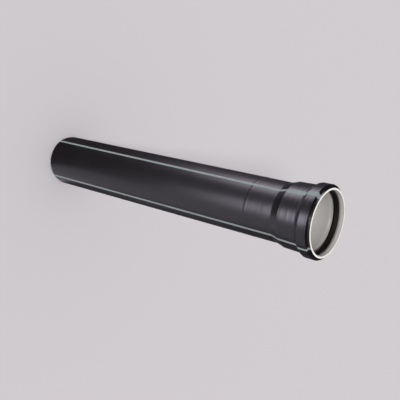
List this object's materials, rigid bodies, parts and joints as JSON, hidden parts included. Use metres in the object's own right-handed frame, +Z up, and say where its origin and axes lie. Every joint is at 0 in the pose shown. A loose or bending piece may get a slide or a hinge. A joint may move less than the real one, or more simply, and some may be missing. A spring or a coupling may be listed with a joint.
{
  "type": "push-fit drain pipe",
  "caption": "Short length of push-fit drain pipe: plain chamfered spigot at one end, heat-formed socket with a beaded groove and a rubber lip seal at the other.",
  "frame": {"origin": "centre of the spigot end, on the floor it stands on", "axes": "+Z up the pipe's centreline, out of the mouth of the socket"},
  "size_m": [0.108, 0.108, 0.56],
  "materials": {
    "pipe_skin": "satin black skin with pale green stripes, white inner layer",
    "seal_rubber": "matt black rubber"
  },
  "bodies": {
    "root": {"pipe": "pipe_skin", "seal_ring": "seal_rubber"}
  },
  "joints": []
}
